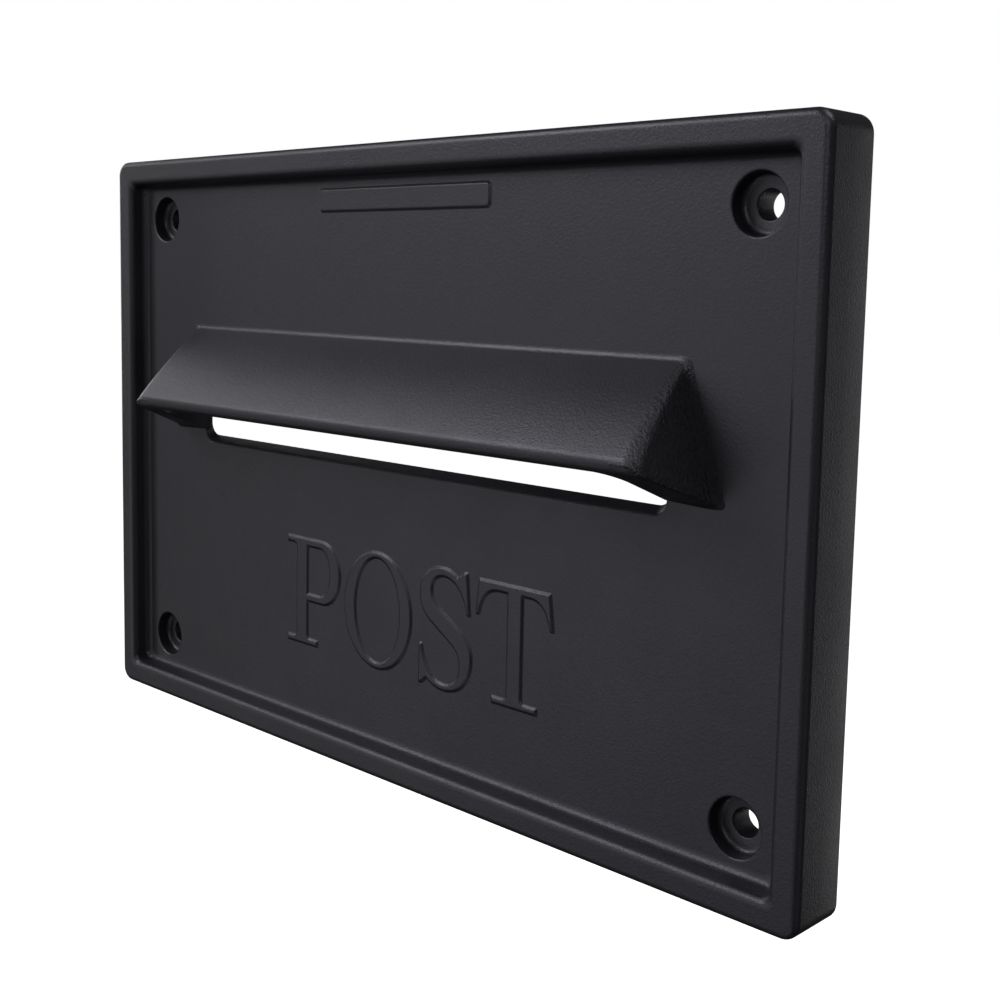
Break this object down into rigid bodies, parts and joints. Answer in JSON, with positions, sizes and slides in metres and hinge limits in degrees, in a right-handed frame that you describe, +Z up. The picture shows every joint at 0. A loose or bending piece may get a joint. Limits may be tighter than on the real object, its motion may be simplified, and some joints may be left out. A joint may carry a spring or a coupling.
{
  "type": "hooded letter plate",
  "caption": "Cast letter plate with a raised border, recessed panel, fixed rain hood over an open letter slot, counterbored screw bosses and raised lettering.",
  "frame": {"origin": "middle of the back plane, where the plate meets the wall", "axes": "+Z up, +X to the right seen from the front, -Y out of the wall towards the viewer, +Y into the wall"},
  "size_m": [0.3216, 0.0387, 0.21],
  "materials": {
    "satin_powder_coat": "satin black powder coat with a fine orange-peel grain over cast aluminium",
    "rough_cast_coat": "the same black coat over a coarser as-cast surface"
  },
  "bodies": {
    "root": {"border_frame": "satin_powder_coat", "face_panel": "satin_powder_coat", "hood_canopy": "satin_powder_coat", "hood_cheek_left": "rough_cast_coat", "hood_cheek_right": "rough_cast_coat", "screw_boss_top_left": "satin_powder_coat", "screw_boss_top_right": "satin_powder_coat", "screw_boss_bottom_left": "satin_powder_coat", "screw_boss_bottom_right": "satin_powder_coat", "letter_p": "satin_powder_coat", "letter_o": "satin_powder_coat", "letter_s": "satin_powder_coat", "letter_t": "satin_powder_coat", "blank_name_bar": "satin_powder_coat"}
  },
  "joints": []
}
